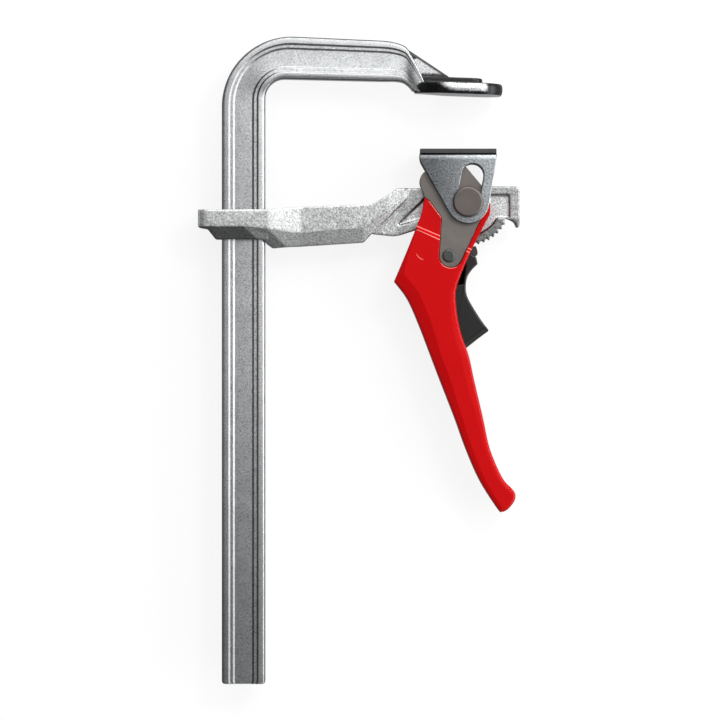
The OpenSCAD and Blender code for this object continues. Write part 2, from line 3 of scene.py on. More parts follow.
import bmesh
import bpy
import numpy as np
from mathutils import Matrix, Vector


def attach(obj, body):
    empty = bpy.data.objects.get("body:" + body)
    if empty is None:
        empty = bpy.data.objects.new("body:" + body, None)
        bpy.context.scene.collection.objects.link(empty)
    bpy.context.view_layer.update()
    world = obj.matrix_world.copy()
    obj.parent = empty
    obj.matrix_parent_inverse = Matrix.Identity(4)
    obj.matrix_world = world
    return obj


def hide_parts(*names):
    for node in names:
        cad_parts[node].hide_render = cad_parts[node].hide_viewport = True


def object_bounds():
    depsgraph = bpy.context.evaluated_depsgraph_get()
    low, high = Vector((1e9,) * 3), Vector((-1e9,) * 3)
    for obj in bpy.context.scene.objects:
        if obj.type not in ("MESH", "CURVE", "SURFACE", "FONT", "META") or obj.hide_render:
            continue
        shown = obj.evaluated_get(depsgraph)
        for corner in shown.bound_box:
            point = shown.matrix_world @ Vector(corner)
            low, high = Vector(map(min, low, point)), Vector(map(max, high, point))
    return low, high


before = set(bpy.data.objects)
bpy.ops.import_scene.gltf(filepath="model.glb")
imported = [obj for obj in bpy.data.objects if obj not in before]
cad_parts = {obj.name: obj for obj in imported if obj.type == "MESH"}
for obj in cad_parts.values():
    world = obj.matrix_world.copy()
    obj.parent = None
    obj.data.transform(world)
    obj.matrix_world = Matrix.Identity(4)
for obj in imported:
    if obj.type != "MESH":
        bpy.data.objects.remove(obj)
cad_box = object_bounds()

# The view of the photograph: straight down on the clamp as it lies, from far off with a long
# lens, so that the square picture takes in 432 mm of the table and shows few sides.
VIEW_CENTRE = (-0.0588, -0.1589)
VIEW_WIDTH = 0.432
VIEW_DISTANCE = 3.2
SENSOR_MM = 36.0

camera = bpy.data.objects.new("camera", bpy.data.cameras.new("camera"))
camera.location = (*VIEW_CENTRE, VIEW_DISTANCE)
camera.data.sensor_width = SENSOR_MM
camera.data.lens = SENSOR_MM * VIEW_DISTANCE / VIEW_WIDTH
camera.data.clip_end = 50.0
bpy.context.scene.collection.objects.link(camera)
bpy.context.scene.camera = camera
bpy.context.scene.view_settings.view_transform = "Standard"


# Studio light: a small bright key lamp high at the upper right, a soft box over the upper end of
# the clamp, and two low ones at its right and beyond its upper end. Slopes that face them shine,
# and those that face left go dark in the steel.
def srgb(code):
    """Linear red, green, blue and alpha of a hex colour: each channel to the power 2.4 above its
    short straight foot."""
    channels = np.array([int(code[i:i + 2], 16) for i in (1, 3, 5)]) / 255
    linear = np.where(channels <= 0.04045, channels / 12.92, ((channels + 0.055) / 1.055) ** 2.4)
    return (*linear.tolist(), 1.0)


def add(tree, kind, inputs=None, **settings):
    """One shader node of that kind, with its settings and with its inputs set or linked."""
    node = tree.nodes.new(kind)
    for name, value in settings.items():
        setattr(node, name, value)
    for name, value in (inputs or {}).items():
        if isinstance(value, bpy.types.NodeSocket):
            tree.links.new(value, node.inputs[name])
        else:
            node.inputs[name].default_value = value
    return node


def soft_box(name, radiance, width, height, place, target):
    """A rectangular lamp at place, turned to face target, whose face has that radiance."""
    lamp = bpy.data.lights.new(name, "AREA")
    lamp.shape = "RECTANGLE"
    lamp.size, lamp.size_y = width, height
    lamp.energy = radiance * width * height * math.pi
    lamp.color = (1.0, 0.995, 0.985)
    box = bpy.data.objects.new(name, lamp)
    box.location = place
    aim = box.location - Vector(target)
    box.rotation_euler = aim.to_track_quat("Z", "Y").to_euler()
    bpy.context.scene.collection.objects.link(box)
    return box


soft_box("key_lamp", 34.0, 0.26, 0.26, (0.8, 0.74, 1.5), (-0.03, -0.1, 0.0))
soft_box("overhead_box", 1.6, 1.5, 0.9, (0.1, 0.5, 0.9), (0.0, 0.2, 0.0))
soft_box("right_box", 5.0, 2.2, 0.8, (1.35, -0.25, 0.52), (0.0, -0.1, 0.0))
soft_box("upper_box", 4.6, 1.4, 0.6, (0.1, 1.35, 0.48), (0.0, 0.0, 0.0))
soft_box("near_box", 0.9, 1.2, 0.5, (0.2, -1.35, 0.95), (0.0, -0.1, 0.0))

world = bpy.data.worlds.new("studio")
bpy.context.scene.world = world
world.use_nodes = True

# The room is dim on the left and lighter to the right: the strength grows with the cosine
# between the way looked and a point high on the right. A paler band runs round at middling
# height, for the sides of the clamp. The camera itself sees white.
tree = world.node_tree
way = add(tree, "ShaderNodeTexCoord")
toward = add(tree, "ShaderNodeVectorMath", {0: way.outputs["Generated"], 1: (0.62, 0.4, 0.67)},
             operation="DOT_PRODUCT")
room = add(tree, "ShaderNodeMapRange", {
    "Value": toward.outputs["Value"], "From Min": -0.3, "From Max": 0.9,
    "To Min": 0.06, "To Max": 0.42}, interpolation_type="SMOOTHSTEP")
rise = add(tree, "ShaderNodeSeparateXYZ", {0: way.outputs["Generated"]})
low_edge = add(tree, "ShaderNodeMapRange", {
    "Value": rise.outputs["Z"], "From Min": 0.14, "From Max": 0.44, "To Max": 0.32},
    interpolation_type="SMOOTHSTEP")
high_edge = add(tree, "ShaderNodeMapRange", {
    "Value": rise.outputs["Z"], "From Min": 0.88, "From Max": 0.66},
    interpolation_type="SMOOTHSTEP")
lit = add(tree, "ShaderNodeMath", {
    0: low_edge.outputs[0], 1: high_edge.outputs[0], 2: room.outputs[0]},
    operation="MULTIPLY_ADD")
eye = add(tree, "ShaderNodeLightPath")
strength = add(tree, "ShaderNodeMix", {
    "Factor": eye.outputs["Is Camera Ray"], "A": lit.outputs[0], "B": 1.0})
tree.links.new(strength.outputs[0], tree.nodes["Background"].inputs["Strength"])
tree.nodes["Background"].inputs["Color"].default_value = (1.0, 1.0, 1.0, 1.0)


# Table: a white board that runs out of sight. It glows a little for the eye and for mirror
# rays, half as much, which makes it white without more light on the clamp, and it keeps the
# clamp's shadow.
TABLE_DEPTH = cad_box[0][2]
TABLE_HALF = 12.0
GLOW = 0.84
MIRRORED = 0.5

table = bpy.data.meshes.new("table")
table.from_pydata([(-TABLE_HALF, -TABLE_HALF, TABLE_DEPTH), (TABLE_HALF, -TABLE_HALF, TABLE_DEPTH),
                   (TABLE_HALF, TABLE_HALF, TABLE_DEPTH), (-TABLE_HALF, TABLE_HALF, TABLE_DEPTH)],
                  [], [(0, 1, 2, 3)])
table_top = bpy.data.objects.new("table", table)
bpy.context.scene.collection.objects.link(table_top)

white_board = bpy.data.materials.new("white_board")
white_board.use_nodes = True
tree = white_board.node_tree
tree.nodes.clear()
path = add(tree, "ShaderNodeLightPath")
mirrored = add(tree, "ShaderNodeMath", {0: path.outputs["Is Glossy Ray"],
                                        1: path.outputs["Is Transmission Ray"]}, operation="ADD")
seen = add(tree, "ShaderNodeMath", {
    0: mirrored.outputs[0], 1: MIRRORED, 2: path.outputs["Is Camera Ray"]},
    operation="MULTIPLY_ADD")
glow = add(tree, "ShaderNodeMath", {0: seen.outputs[0], 1: GLOW}, operation="MULTIPLY")
board = add(tree, "ShaderNodeBsdfDiffuse", {"Color": srgb("#6c6c6c")})
shine = add(tree, "ShaderNodeEmission", {"Strength": glow.outputs[0]})
both = add(tree, "ShaderNodeAddShader", {0: board.outputs[0], 1: shine.outputs[0]})
add(tree, "ShaderNodeOutputMaterial", {"Surface": both.outputs[0]})
table.materials.append(white_board)


# Bar: one drawn steel bar with a stepped groove in both broad faces and rolled edges, zinc
# plated. It is bent over hot at the top, and its end is turned down into the neck of the jaw.
MM = 0.001
BAR_WIDTH = 26.0
BAR_HALF = 6.5
THROAT = 115.6
BAR_REACH = 353.0
END_ROUNDING = 1.8
INNER_BEND, OUTER_BEND = 11.5, 42.0
INNER_SLOPE, OUTER_SLOPE = math.radians(1.3), math.radians(2.6)
ARC_STEPS = 4
BRIGHTEST = 1.35


def rounded(points, radii, steps):
    """A closed outline with each corner replaced by an arc of its radius: the arc's centre lies
    on the corner's bisector, and the arc ends where it touches the two sides."""
    points = np.asarray(points, float)
    radii = np.asarray(radii, float)[:, None]
    before = points - np.roll(points, 1, axis=0)
    after = np.roll(points, -1, axis=0) - points
    before /= np.linalg.norm(before, axis=1, keepdims=True)
    after /= np.linalg.norm(after, axis=1, keepdims=True)
    half = 0.5 * np.arctan2(before[:, 0] * after[:, 1] - before[:, 1] * after[:, 0],
                            (before * after).sum(axis=1))[:, None]
    inward = np.sign(half) * np.stack([-before[:, 1], before[:, 0]], axis=1)
    centre = points - before * radii * np.tan(np.abs(half)) + inward * radii
    angle = 2 * half * np.linspace(0, 1, steps + 1)[None, :]
    x = centre[:, :1] - radii * (inward[:, :1] * np.cos(angle) - inward[:, 1:] * np.sin(angle))
    y = centre[:, 1:] - radii * (inward[:, :1] * np.sin(angle) + inward[:, 1:] * np.cos(angle))
    return np.stack([x, y], axis=2).reshape(-1, 2)


def bar_section(share):
    """Way across the bar and depth of its outline: flat crowns, two sloping steps down to the web
    whose depth is share times the full one, and arcs at every corner."""
    way = np.array([0, 4, 5.1, 6.7, 7.8])
    depth = BAR_HALF - share * np.array([0, 0, 0.9, 0.9, 1.8])
    radius = np.array([2, 0.45, 0.35, 0.35, 0.5])
    way = np.concatenate([way, BAR_WIDTH - way[::-1]])
    depth = np.concatenate([depth, depth[::-1]])
    radius = np.concatenate([radius, radius[::-1]])
    outline = np.stack([np.concatenate([way, way[::-1]]),
                        np.concatenate([depth, -depth[::-1]])], axis=1)
    return rounded(outline[::-1], np.concatenate([radius, radius[::-1]])[::-1], ARC_STEPS)


def section_painted_shade(inner_bend_shade):
    """Painted light and shade at each point of the section: painted shade on the rolled edges and
    on the steps, painted light on crowns, ledges and web. The column given paints shade on the
    points near the inside of the bend."""
    quarter = np.array([0.22, 0.26, 0.4, 0.75, 1.0, 1.0, 0.95, 0.7, 0.5, 0.45,
                        0.45, 0.5, 0.7, 0.9, 0.95, 0.95, 0.9, 0.7, 0.5, 0.45,
                        0.45, 0.55, 0.75, 0.95, 1.0])
    half = np.concatenate([quarter, quarter[::-1]])
    near = np.concatenate([np.ones(25), [0.6], np.zeros(24)])
    return np.concatenate([half, half[::-1]]) * (1 - inner_bend_shade * np.concatenate([near, near[::-1]]))


def through(keys, steps):
    """Catmull-Rom curve through the rows of keys, with that many steps a span: on each span a
    cubic of the four nearest rows."""
    keys = np.asarray(keys, float)
    padded = np.concatenate([keys[:1], keys, keys[-1:]])
    t = (np.arange(steps) / steps)[None, :, None]
    a, b, c, d = (padded[i:len(keys) - 1 + i, None, :] for i in range(4))
    curve = 0.5 * (2 * b + (c - a) * t + (2 * a - 5 * b + 4 * c - d) * t ** 2
                   + (3 * b - a - 3 * c + d) * t ** 3)
    return np.concatenate([curve.reshape(-1, keys.shape[1]), keys[-1:]])


def closed_surface(name, rings, finish):
    """A mesh on a grid of rings (ring, point, xyz) in millimetres: each cell is a face, every ring
    closes on itself, and a face over each end ring closes the ends."""
    rings = np.asarray(rings, float)
    count, size, _ = rings.shape
    index = np.arange(count * size).reshape(count, size)
    here, on = index[:-1], index[1:]
    cells = np.stack([here, np.roll(here, -1, axis=1), np.roll(on, -1, axis=1), on], axis=2)
    mesh = bpy.data.meshes.new(name)
    mesh.from_pydata((rings.reshape(-1, 3) * MM).tolist(), [],
                     cells.reshape(-1, 4).tolist() + [index[0][::-1].tolist(), index[-1].tolist()])
    mesh.shade_smooth()
    mesh.materials.append(finish)
    piece = bpy.data.objects.new(name, mesh)
    bpy.context.scene.collection.objects.link(piece)
    return piece


def even_normals(piece):
    """Lets the large flat faces keep their own normal, and the arcs beside them do the turning."""
    weigh = piece.modifiers.new("even_normals", "WEIGHTED_NORMAL")
    weigh.mode = "FACE_AREA"
    weigh.weight = 60
    weigh.keep_sharp = True


def bend_arc(side, arm_end, radius, slope, count=49):
    """An arc that touches the upright line x = side and the line which falls by slope to
    arm_end. Its centre is radius away from both."""
    x = side + radius
    y = arm_end[1] - (radius + (x - arm_end[0]) * math.sin(slope)) / math.cos(slope)
    angle = np.linspace(math.pi, math.pi / 2 - slope, count)
    return np.stack([x + radius * np.cos(angle), y + radius * np.sin(angle)], axis=1)


# Each ring runs from a point on the bar's inner edge to one on its outer edge. The neck's keys
# give both points, the share of the steps' depth that is left, and the scale of the thickness.
end_way = np.array([0, 0.12, 0.5, 1.0, END_ROUNDING])
end_cut = END_ROUNDING - np.sqrt(END_ROUNDING ** 2 - (END_ROUNDING - end_way) ** 2)
straight_low = np.stack([-THROAT - end_cut, end_way - BAR_REACH], axis=1)
straight_high = np.stack([-THROAT - BAR_WIDTH + end_cut, end_way - BAR_REACH], axis=1)
arm_low = np.array([-46.1, 8.1])
arm_high = np.array([-44.9, 32.4])
bend_low = bend_arc(-THROAT, arm_low, INNER_BEND, INNER_SLOPE)
bend_high = bend_arc(-THROAT - BAR_WIDTH, arm_high, OUTER_BEND, OUTER_SLOPE)
neck_keys = through([
    [*arm_low, *arm_high, 1, 1],
    [-42, 8.1, -40.2, arm_high[1] - 0.6, 1, 1],
    [-37.2, 8.0, -34.8, arm_high[1] - 2, 1, 1],
    [-33, 7.2, -31, arm_high[1] - 4, 0.9, 1],
    [-29.4, 4.6, -28.7, arm_high[1] - 7.6, 0.55, 1],
    [-27.2, 2.2, -24.9, 18.4, 0.15, 1.04],
    [-23, 1.4, -20.2, 7.8, 0.08, 1.1]], 8)
stations = np.array([-303.0, -228.0, -153.0, -84.0])[:, None]
straight_low = np.concatenate([straight_low, np.hstack([0 * stations - THROAT, stations])])
straight_high = np.concatenate([straight_high,
                                np.hstack([0 * stations - THROAT - BAR_WIDTH, stations])])
low = np.concatenate([straight_low, bend_low, neck_keys[:, 0:2]])
high = np.concatenate([straight_high, bend_high, neck_keys[:, 2:4]])
plain = np.ones(len(straight_low) + len(bend_low))
share = np.concatenate([plain, neck_keys[:, 4]])
deep = np.concatenate([1 - 0.35 * (end_cut / END_ROUNDING) ** 2 / BAR_HALF,
                       plain[len(end_cut):], neck_keys[:, 5]])
sections = np.stack([bar_section(s) for s in share])
across = (sections[:, :, 0] / BAR_WIDTH)[:, :, None]
flat = low[:, None, :] * (1 - across) + high[:, None, :] * across
bar_rings = np.concatenate([flat, sections[:, :, 1:] * deep[:, None, None]], axis=2)

# The skin's painted light and shade are kept on the mesh: painted shade towards the sawn end,
# below the rolled edge of the bend and in the neck's crease, and painted light towards the
# inner edge.
turn_share = np.concatenate([np.zeros(len(straight_low)), np.linspace(0, 1, len(bend_low)),
                             np.ones(len(neck_keys))])
inner_bend_shade = 0.5 * np.exp(-((turn_share - 0.3) / 0.28) ** 2)[:, None]
painted_length_shade = np.interp(low[:, 1:], [-353, -303, -153, -15], [0.57, 0.63, 1.08, 0.97])
corner = np.arange(sections.shape[1]) // (ARC_STEPS + 1)
under = np.isin(corner, [0, 19]) * 0.5 * turn_share[:, None]
crease = (np.isin(corner, [1, 2, 3, 4, 15, 16, 17, 18]) * 0.75
          * np.clip(2.4 * (1 - share), 0, 1)[:, None])
bar_painted_shade = (1 - under) * (1 - crease) * section_painted_shade(inner_bend_shade) * painted_length_shade
bar_painted_shade = np.minimum(bar_painted_shade * (1.32 - 0.54 * across[:, :, 0]), BRIGHTEST)


def plated_steel(name, colour, painted_side_colour, roughness, grain_mm, relief_mm, speckle, tone=None):
    """Zinc plated steel: hot rolled grain under a thin bright coat. The speckle and the relief
    come from one noise at the grain's size. Upright sides take the second colour given: painted
    shade where it is darker than the top, painted light where it is lighter.
    tone(tree, place) may return a socket that scales the colour from place to place."""
    material = bpy.data.materials.new(name)
    material.use_nodes = True
    tree = material.node_tree
    tree.nodes.clear()
    place = add(tree, "ShaderNodeTexCoord")
    cloud_mm = 14 * grain_mm
    grain = add(tree, "ShaderNodeTexNoise", {
        "Vector": place.outputs["Object"], "Scale": 1000 / grain_mm, "Detail": 3.0,
        "Roughness": 0.65})
    cloud = add(tree, "ShaderNodeTexNoise", {
        "Vector": place.outputs["Object"], "Scale": 1000 / cloud_mm, "Detail": 2.0})
    facing = add(tree, "ShaderNodeSeparateXYZ", {0: place.outputs["Normal"]})
    level = add(tree, "ShaderNodeMath", {0: facing.outputs["Z"]}, operation="ABSOLUTE")
    # Painted light and shade: the more upright a face, the more it takes the side colour.
    flat = add(tree, "ShaderNodeMapRange", {
        "Value": level.outputs[0], "From Min": 0.12, "From Max": 0.45})
    base = add(tree, "ShaderNodeMix", {
        "Factor": flat.outputs[0], 6: srgb(painted_side_colour), 7: srgb(colour)}, data_type="RGBA")
    spots = add(tree, "ShaderNodeMapRange", {
        "Value": grain.outputs["Fac"], "From Min": 0.36, "From Max": 0.64,
        "To Min": 1 - speckle, "To Max": 1 + speckle})
    drift = add(tree, "ShaderNodeMapRange", {
        "Value": cloud.outputs["Fac"], "From Min": 0.3, "From Max": 0.7,
        "To Min": 0.93, "To Max": 1.07})
    both = add(tree, "ShaderNodeMath", {0: spots.outputs[0], 1: drift.outputs[0]},
               operation="MULTIPLY")
    tint = add(tree, "ShaderNodeVectorMath", {0: base.outputs[2], "Scale": both.outputs[0]},
               operation="SCALE")
    if tone:
        tint = add(tree, "ShaderNodeVectorMath", {0: tint.outputs[0], "Scale": tone(tree, place)},
                   operation="SCALE")
    relief = add(tree, "ShaderNodeBump", {
        "Height": grain.outputs["Fac"], "Strength": 1.0, "Distance": relief_mm * MM})
    rub = add(tree, "ShaderNodeMapRange", {
        "Value": grain.outputs["Fac"], "From Min": 0.3, "From Max": 0.7,
        "To Min": roughness - 0.06, "To Max": roughness + 0.08})
    body = add(tree, "ShaderNodeBsdfPrincipled", {
        "Base Color": tint.outputs[0], "Metallic": 1.0, "Roughness": rub.outputs[0],
        "Normal": relief.outputs[0]})
    add(tree, "ShaderNodeOutputMaterial", {"Surface": body.outputs[0]})
    return material


def kept_painted_shade(tree, place):
    """The painted light and shade kept on the bar's own mesh, and an even tone on its upright
    narrow sides.
    """
    kept = add(tree, "ShaderNodeAttribute", attribute_name="tone").outputs["Fac"]
    facing = add(tree, "ShaderNodeSeparateXYZ", {0: place.outputs["Normal"]})
    level = add(tree, "ShaderNodeMath", {0: facing.outputs["Z"]}, operation="ABSOLUTE").outputs[0]
    side = add(tree, "ShaderNodeMapRange", {
        "Value": level, "From Min": 0.14, "From Max": 0.04}).outputs[0]
    return add(tree, "ShaderNodeMix", {"Factor": side, "A": kept, "B": 0.85}).outputs[0]


bar_steel = plated_steel("zinc_plated_drawn_steel", "#cdcfd1", "#a4a5a8", 0.3, 0.65, 0.016, 0.34,
                         kept_painted_shade)
bar = closed_surface("grooved_bar", bar_rings, bar_steel)
bar.data.attributes.new("tone", "FLOAT", "POINT").data.foreach_set("value", bar_painted_shade.ravel())
even_normals(bar)
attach(bar, "bar")
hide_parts("bar")


# Fixed jaw: the bar's end, pressed hot in a die into a broad paddle with crowned edges, with a
# stiffening rib down its back and a gusset web up to the neck. It is one forging with the bar.
JAW_THICK = 7.2
JAW_HALF = 26.75
JAW_SIDE = 17.94
TIP_RADIUS = 15.0
JAW_TILT = math.radians(2)
RIB_TOP = JAW_THICK + 3.2
RIB_HALF = 6.5
RIB_START = -24.0
RIB_END = JAW_HALF - 12.4 - RIB_HALF
GUSSET_HALF = 3.5


def shrunk(outline, by):
    """A counterclockwise closed outline moved inward by that distance along its normals."""
    way = np.roll(outline, -1, axis=0) - np.roll(outline, 1, axis=0)
    way /= np.linalg.norm(way, axis=1, keepdims=True)
    return outline + by * np.stack([-way[:, 1], way[:, 0]], axis=1)


def slab(outline, levels, insets):
    """Rings of a plate: the outline at each of the levels, moved inward by that level's inset.
    Their third column is the level."""
    return np.stack([np.column_stack([shrunk(outline, by), np.full(len(outline), level)])
                     for level, by in zip(levels, insets)])


def on_jaw(rings):
    """Turns rings of (along, across, height) into the jaw's own tilt: height is up the clamp."""
    along, across, height = np.moveaxis(rings, 2, 0)
    x = along * math.cos(JAW_TILT) + height * math.sin(JAW_TILT)
    y = -along * math.sin(JAW_TILT) + height * math.cos(JAW_TILT)
    return np.stack([x, y, -across], axis=2)


tip_angle = np.linspace(math.pi / 2, math.radians(10), 24)
tip_arc = np.stack([JAW_HALF - TIP_RADIUS + TIP_RADIUS * np.cos(tip_angle),
                    JAW_SIDE - TIP_RADIUS + TIP_RADIUS * np.sin(tip_angle)], axis=1)
near_side = np.concatenate([
    through([[-JAW_HALF, 6.5], [-22.75, 7.5], [-17.75, 10.5], [-12.75, 15], [-7.75, 17.2],
             [-1.75, JAW_SIDE], [11.75, JAW_SIDE]], 6)[:-1],
    tip_arc])
paddle_outline = np.concatenate([near_side[::-1], near_side * [1, -1]])
paddle = slab(paddle_outline,
              [0, 0.25, 0.8, 1.8, 3.6, 5.2, 6.3, JAW_THICK - 0.3, JAW_THICK],
              [1.5, 0.8, 0.4, 0.12, 0, 0.15, 0.5, 1.0, 1.9])

rib_angle = np.linspace(-math.pi / 2, math.pi / 2, 25)
rib_outline = np.concatenate([
    [[RIB_START, -RIB_HALF]],
    np.stack([RIB_END + RIB_HALF * np.cos(rib_angle), RIB_HALF * np.sin(rib_angle)], axis=1),
    [[RIB_START, RIB_HALF]]])
rib = slab(rib_outline, [4, RIB_TOP - 1, RIB_TOP - 0.3, RIB_TOP], [0, 0, 0.25, 0.9])

gusset_side = rounded([[-29.5, 4.2], [-5.2, 4.2], [-4.4, RIB_TOP - 0.2], [-30.6, 27.6]],
                      [0.5, 0.5, 3, 0.4], 4)
gusset = slab(gusset_side,
              [-GUSSET_HALF, 0.3 - GUSSET_HALF, -2.6, 2.6, GUSSET_HALF - 0.3, GUSSET_HALF],
              [0.8, 0.25, 0, 0, 0.25, 0.8])


def jaw_painted_light(tree, place):
    """Painted light and shade: dark along the paddle, the rib and the gusset's edge, with painted
    highlights on the crown of the paddle's edge, on the gusset's sides and on faces turned up the
    clamp, and painted light on the jaw's face. The masks are ramps along the jaw's height and
    length and along its normal."""
    ragged_mm, ragged_reach = 10 / 9, 1.2 * MM
    spot = add(tree, "ShaderNodeSeparateXYZ", {0: place.outputs["Object"]})
    facing = add(tree, "ShaderNodeSeparateXYZ", {0: place.outputs["Normal"]}).outputs["Y"]
    tilted = add(tree, "ShaderNodeMath", {
        0: spot.outputs["X"], 1: math.sin(JAW_TILT), 2: spot.outputs["Y"]},
        operation="MULTIPLY_ADD").outputs[0]
    rough = add(tree, "ShaderNodeTexNoise", {
        "Vector": place.outputs["Object"], "Scale": 1000 / ragged_mm, "Detail": 2.0})
    ragged = add(tree, "ShaderNodeMath", {
        0: rough.outputs["Fac"], 1: 2 * ragged_reach, 2: -ragged_reach},
        operation="MULTIPLY_ADD").outputs[0]
    height = add(tree, "ShaderNodeMath", {0: tilted, 1: ragged}, operation="ADD").outputs[0]
    along = add(tree, "ShaderNodeMath", {0: spot.outputs["X"], 1: ragged},
                operation="ADD").outputs[0]
    lean = add(tree, "ShaderNodeMath", {0: height, 1: 1.5, 2: along},
               operation="MULTIPLY_ADD").outputs[0]
    edge = add(tree, "ShaderNodeVectorMath", {0: place.outputs["Object"], 1: (0.549, 0.836, 0)},
               operation="DOT_PRODUCT").outputs["Value"]
    widen = add(tree, "ShaderNodeMapRange", {
        "Value": spot.outputs["X"], "From Min": -28 * MM, "From Max": -24.5 * MM,
        "To Min": 3.6 * MM, "To Max": 1.0 * MM}).outputs[0]
    border = add(tree, "ShaderNodeMath", {0: edge, 1: widen}, operation="ADD").outputs[0]

    # Each row: the measure, where its ramp starts and ends, and the values there.
    ramps = []
    for measure, start, end, first, last in [
            (height, 11.5 * MM, 12.9 * MM, 0, 1), (border, 5.4 * MM, 6.0 * MM, 1, 0.05),
            (height, 1.7 * MM, 2.7 * MM, 0, 1), (height, 6.1 * MM, 7.1 * MM, 1, 0),
            (lean, -3.5 * MM, 1.5 * MM, 0, 1), (along, 15.6 * MM, 18.0 * MM, 1, 0),
            (facing, 0.8, 0.97, 0, 0.4), (facing, -0.75, -0.97, 0, 1)]:
        ramps.append(add(tree, "ShaderNodeMapRange", {
            "Value": measure, "From Min": start, "From Max": end,
            "To Min": first, "To Max": last}).outputs[0])
    web, inside, crown, below, left, right, back, face = ramps
    web = add(tree, "ShaderNodeMath", {0: web, 1: inside}, operation="MULTIPLY").outputs[0]
    for mask in (below, left, right):
        crown = add(tree, "ShaderNodeMath", {0: crown, 1: mask}, operation="MULTIPLY").outputs[0]
    # Painted highlights: the brightest of the web, the crown and the faces turned up.
    bright = add(tree, "ShaderNodeMath", {0: web, 1: crown}, operation="MAXIMUM").outputs[0]
    bright = add(tree, "ShaderNodeMath", {0: bright, 1: back}, operation="MAXIMUM").outputs[0]
    tone = add(tree, "ShaderNodeMapRange", {
        "Value": bright, "To Min": 0.06, "To Max": BRIGHTEST}).outputs[0]
    # Painted light on the jaw's face, added on top.
    return add(tree, "ShaderNodeMath", {0: face, 1: 2.25, 2: tone},
               operation="MULTIPLY_ADD").outputs[0]


def forged(piece, voxel_mm, rounds):
    """The piece's skin made anew on a grid that fine and evened out, which rounds its corners."""
    skin = piece.modifiers.new("die_skin", "REMESH")
    skin.mode = "VOXEL"
    skin.voxel_size = voxel_mm * MM
    skin.use_smooth_shade = True
    soften = piece.modifiers.new("die_radii", "SMOOTH")
    soften.factor = 0.5
    soften.iterations = rounds


jaw_steel = plated_steel("plated_forging", "#b0b1b3", "#6c6d70", 0.32, 0.9, 0.04, 0.3, jaw_painted_light)
blanks = [closed_surface("jaw_paddle", on_jaw(paddle), jaw_steel),
          closed_surface("jaw_rib", on_jaw(rib), jaw_steel),
          closed_surface("jaw_gusset", gusset, jaw_steel)]
with bpy.context.temp_override(active_object=blanks[0], selected_editable_objects=blanks):
    bpy.ops.object.join()
jaw = blanks[0]
jaw.name = "forged_jaw"
forged(jaw, 0.35, 5)
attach(jaw, "bar")
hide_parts("bar")


# Sliding arm: a drop forging with a collar round the bar, an eight-sided beam, and a plate with
# pockets, a hooked front frame and a sector of ratchet teeth. It is shot blasted and plated, so
# its edges are soft and its skin sparkles.
PIVOT = np.array([5.7, -64.3])
SAME_POINT = 0.002 * MM


def forging_tone(tree, place):
    """Bright floors in the plate's pockets, a dark sector behind the teeth, and painted shade on
    the
    faces turned down under the collar: a dark foot that ends in a slanting facet. All are
    products of ramps along lines, depths and radii."""
    spot = add(tree, "ShaderNodeSeparateXYZ", {0: place.outputs["Object"]})
    facing = add(tree, "ShaderNodeSeparateXYZ", {0: place.outputs["Normal"]})
    depth = add(tree, "ShaderNodeMath", {0: spot.outputs["Z"]}, operation="ABSOLUTE").outputs[0]
    level = add(tree, "ShaderNodeMath", {0: facing.outputs["Z"]},
                operation="ABSOLUTE").outputs[0]
    pivot_way = add(tree, "ShaderNodeVectorMath", {
        0: place.outputs["Object"], 1: (*(PIVOT * MM), 0)}, operation="SUBTRACT").outputs[0]
    flat_way = add(tree, "ShaderNodeVectorMath", {0: pivot_way, 1: (1, 1, 0)},
                   operation="MULTIPLY").outputs[0]
    radius = add(tree, "ShaderNodeVectorMath", {0: flat_way}, operation="LENGTH").outputs["Value"]
    slant = add(tree, "ShaderNodeVectorMath", {0: place.outputs["Object"], 1: (0.6655, 0.7465, 0)},
                operation="DOT_PRODUCT").outputs["Value"]

    # Each row: the measure, where its ramp starts and ends, and the values there.
    ramps = []
    for measure, start, end, first, last in [
            (depth, 2.9 * MM, 3.7 * MM, 1, 0), (level, 0.75, 0.92, 0, 1),
            (radius, 19.0 * MM, 20.0 * MM, 0, 1), (spot.outputs["Y"], -75 * MM, -74 * MM, 1, 0),
            (spot.outputs["X"], 1.5 * MM, 2.5 * MM, 0, 1),
            (spot.outputs["X"], -37.5 * MM, -34.5 * MM, 1.12, 0.8),
            (slant, -136.8 * MM, -135.8 * MM, 0.5, 0.7), (slant, -145.0 * MM, -144.0 * MM, 0.35, 1),
            (facing.outputs["Y"], -0.12, -0.3, 0, 1)]:
        ramps.append(add(tree, "ShaderNodeMapRange", {
            "Value": measure, "From Min": start, "From Max": end,
            "To Min": first, "To Max": last}).outputs[0])
    deep, floor, ring, below, right, plate, facet, foot, under = ramps
    pocket = add(tree, "ShaderNodeMath", {0: deep, 1: floor}, operation="MULTIPLY").outputs[0]
    pocket = add(tree, "ShaderNodeMath", {0: pocket, 1: 0.5, 2: 1.0},
                 operation="MULTIPLY_ADD").outputs[0]
    sector = add(tree, "ShaderNodeMath", {0: ring, 1: below}, operation="MULTIPLY").outputs[0]
    sector = add(tree, "ShaderNodeMath", {0: sector, 1: right}, operation="MULTIPLY").outputs[0]
    sector = add(tree, "ShaderNodeMath", {0: sector, 1: -0.5, 2: 1.0},
                 operation="MULTIPLY_ADD").outputs[0]
    # Painted shade: the foot and its facet darken only faces turned down the clamp.
    low = add(tree, "ShaderNodeMath", {0: facet, 1: foot}, operation="MULTIPLY").outputs[0]
    tone = add(tree, "ShaderNodeMix", {"Factor": under, "A": 1.0, "B": low}).outputs[0]
    for part in (pocket, sector, plate):
        tone = add(tree, "ShaderNodeMath", {0: tone, 1: part}, operation="MULTIPLY").outputs[0]
    return tone


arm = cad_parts["sliding_arm"]
arm.data.materials.clear()
arm.data.materials.append(plated_steel("blasted_plated_forging", "#b5b6b7", "#5e5f61", 0.42, 0.9,
                                       0.09, 0.45, forging_tone))
weld = arm.modifiers.new("merged", "WELD")
weld.merge_threshold = SAME_POINT
forged(arm, 0.6, 3)


